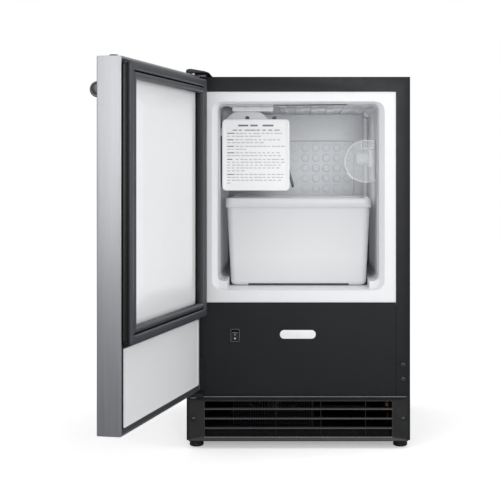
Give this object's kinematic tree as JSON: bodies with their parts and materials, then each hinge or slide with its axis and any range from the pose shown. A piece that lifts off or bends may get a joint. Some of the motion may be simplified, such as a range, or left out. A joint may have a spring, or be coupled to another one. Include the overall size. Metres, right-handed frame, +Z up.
{
  "type": "undercounter ice maker",
  "caption": "Undercounter ice maker: black foamed cabinet with a steel side-hinged door standing open, white lined freezer cavity, automatic ice maker, slide-out ice bin and kick grille.",
  "frame": {"origin": "middle of the footprint with the door open as stored, on the floor", "axes": "+X to the right of someone facing the open cabinet, +Y away from them into the cabinet, +Z up"},
  "size_m": [0.4906, 0.7838, 0.633],
  "materials": {
    "black_paint": "satin powder coat",
    "brushed_steel": "brushed stainless",
    "handle_steel": "dark satin steel",
    "plated_steel": "zinc plated",
    "galvanised": "galvanised sheet",
    "black_plastic": "moulded black",
    "white_plastic": "vacuum formed white",
    "pale_plastic": "moulded pale grey",
    "clear_plastic": "clear moulded guard",
    "rubber": "soft black",
    "freezing_plate": "roll-bonded grey",
    "cast_aluminium": "cast",
    "copper": "drawn copper",
    "foam": "foamed in place"
  },
  "bodies": {
    "cabinet": {"cabinet_wrapper": "black_paint", "cabinet_back_panel": "galvanised", "foam_insulation": "foam", "inner_liner": "white_plastic", "evaporator_sleeve": "freezing_plate", "evaporator_back_plate": "freezing_plate", "lower_front_panel": "black_paint", "kick_grille": "black_plastic", "grille_screw_left": "plated_steel", "grille_screw_right": "plated_steel", "switch_housing": "black_plastic", "icemaker_cover": "white_plastic", "icemaker_head": "pale_plastic", "icemaker_bracket": "white_plastic", "ice_mold": "cast_aluminium", "ice_stripper": "pale_plastic", "fill_cup": "pale_plastic", "fill_tube": "pale_plastic", "thermostat_guard": "clear_plastic", "thermostat_housing": "pale_plastic", "base_pan": "galvanised", "compressor": "black_paint", "condenser": "cast_aluminium", "fan_shroud": "black_plastic", "fan_motor": "galvanised", "filter_drier": "copper", "water_valve": "pale_plastic", "rear_service_cover": "galvanised", "cord_gland": "black_plastic", "top_hinge_bracket": "galvanised", "top_hinge_cover": "black_plastic", "top_hinge_pin": "plated_steel", "bottom_hinge_bracket": "black_paint", "bottom_hinge_pin": "plated_steel", "hinge_screw_upper": "plated_steel", "hinge_screw_lower": "plated_steel", "stile_plug_upper": "black_plastic", "stile_plug_lower": "black_plastic"},
    "door": {"door_outer_panel": "brushed_steel", "door_foam": "foam", "door_inner_frame": "black_plastic", "door_inner_panel": "white_plastic", "door_lower_panel": "pale_plastic", "door_gasket": "rubber", "handle_bar": "handle_steel", "handle_post_left": "handle_steel", "handle_post_right": "handle_steel", "door_hole_plug": "black_plastic", "door_bushing_lower": "pale_plastic", "door_bushing_upper": "pale_plastic"},
    "bin": {"ice_bin": "white_plastic"},
    "arm": {"shutoff_arm": "plated_steel"},
    "ejector_rake": {"ejector": "pale_plastic"},
    "knob": {"thermostat_knob": "pale_plastic"},
    "rocker": {"power_rocker": "black_plastic"},
    "fan": {"condenser_fan": "black_plastic"},
    "front_left_foot": {"foot_front_left": "rubber"},
    "front_right_foot": {"foot_front_right": "rubber"},
    "rear_left_foot": {"foot_rear_left": "rubber"},
    "rear_right_foot": {"foot_rear_right": "rubber"}
  },
  "joints": [
    {"name": "door_hinge", "type": "hinge", "parent": "cabinet", "child": "door", "pos_m": [-0.11623, -0.0391, 0.36], "axis": [0, 0, -1], "range_deg": [-102.2, 17.8]},
    {"name": "bin_slide", "type": "slide", "parent": "cabinet", "child": "bin", "axis": [0, -1, 0], "range_m": [0, 0.3]},
    {"name": "shutoff_arm_lift", "type": "hinge", "parent": "cabinet", "child": "arm", "pos_m": [0.03057, 0.18, 0.5005], "axis": [0, -1, 0], "range_deg": [0, 45]},
    {"name": "ejector_turn", "type": "hinge", "parent": "cabinet", "child": "ejector_rake", "pos_m": [-0.02058, 0.18, 0.5038], "axis": [0, 1, 0], "continuous": true},
    {"name": "thermostat_turn", "type": "hinge", "parent": "cabinet", "child": "knob", "pos_m": [0.17, 0.0679, 0.4865], "axis": [-1, 0, 0], "range_deg": [0, 270]},
    {"name": "power_rocker_tip", "type": "hinge", "parent": "cabinet", "child": "rocker", "pos_m": [-0.04823, -0.0126, 0.189], "axis": [-1, 0, 0], "range_deg": [0, 24]},
    {"name": "condenser_fan_spin", "type": "hinge", "parent": "cabinet", "child": "fan", "pos_m": [0.01427, 0.065, 0.106], "axis": [0, 1, 0], "continuous": true},
    {"name": "front_left_foot_level", "type": "slide", "parent": "cabinet", "child": "front_left_foot", "axis": [0, 0, -1], "range_m": [0, 0.012]},
    {"name": "front_right_foot_level", "type": "slide", "parent": "cabinet", "child": "front_right_foot", "axis": [0, 0, -1], "range_m": [0, 0.012]},
    {"name": "rear_left_foot_level", "type": "slide", "parent": "cabinet", "child": "rear_left_foot", "axis": [0, 0, -1], "range_m": [0, 0.012]},
    {"name": "rear_right_foot_level", "type": "slide", "parent": "cabinet", "child": "rear_right_foot", "axis": [0, 0, -1], "range_m": [0, 0.012]}
  ]
}
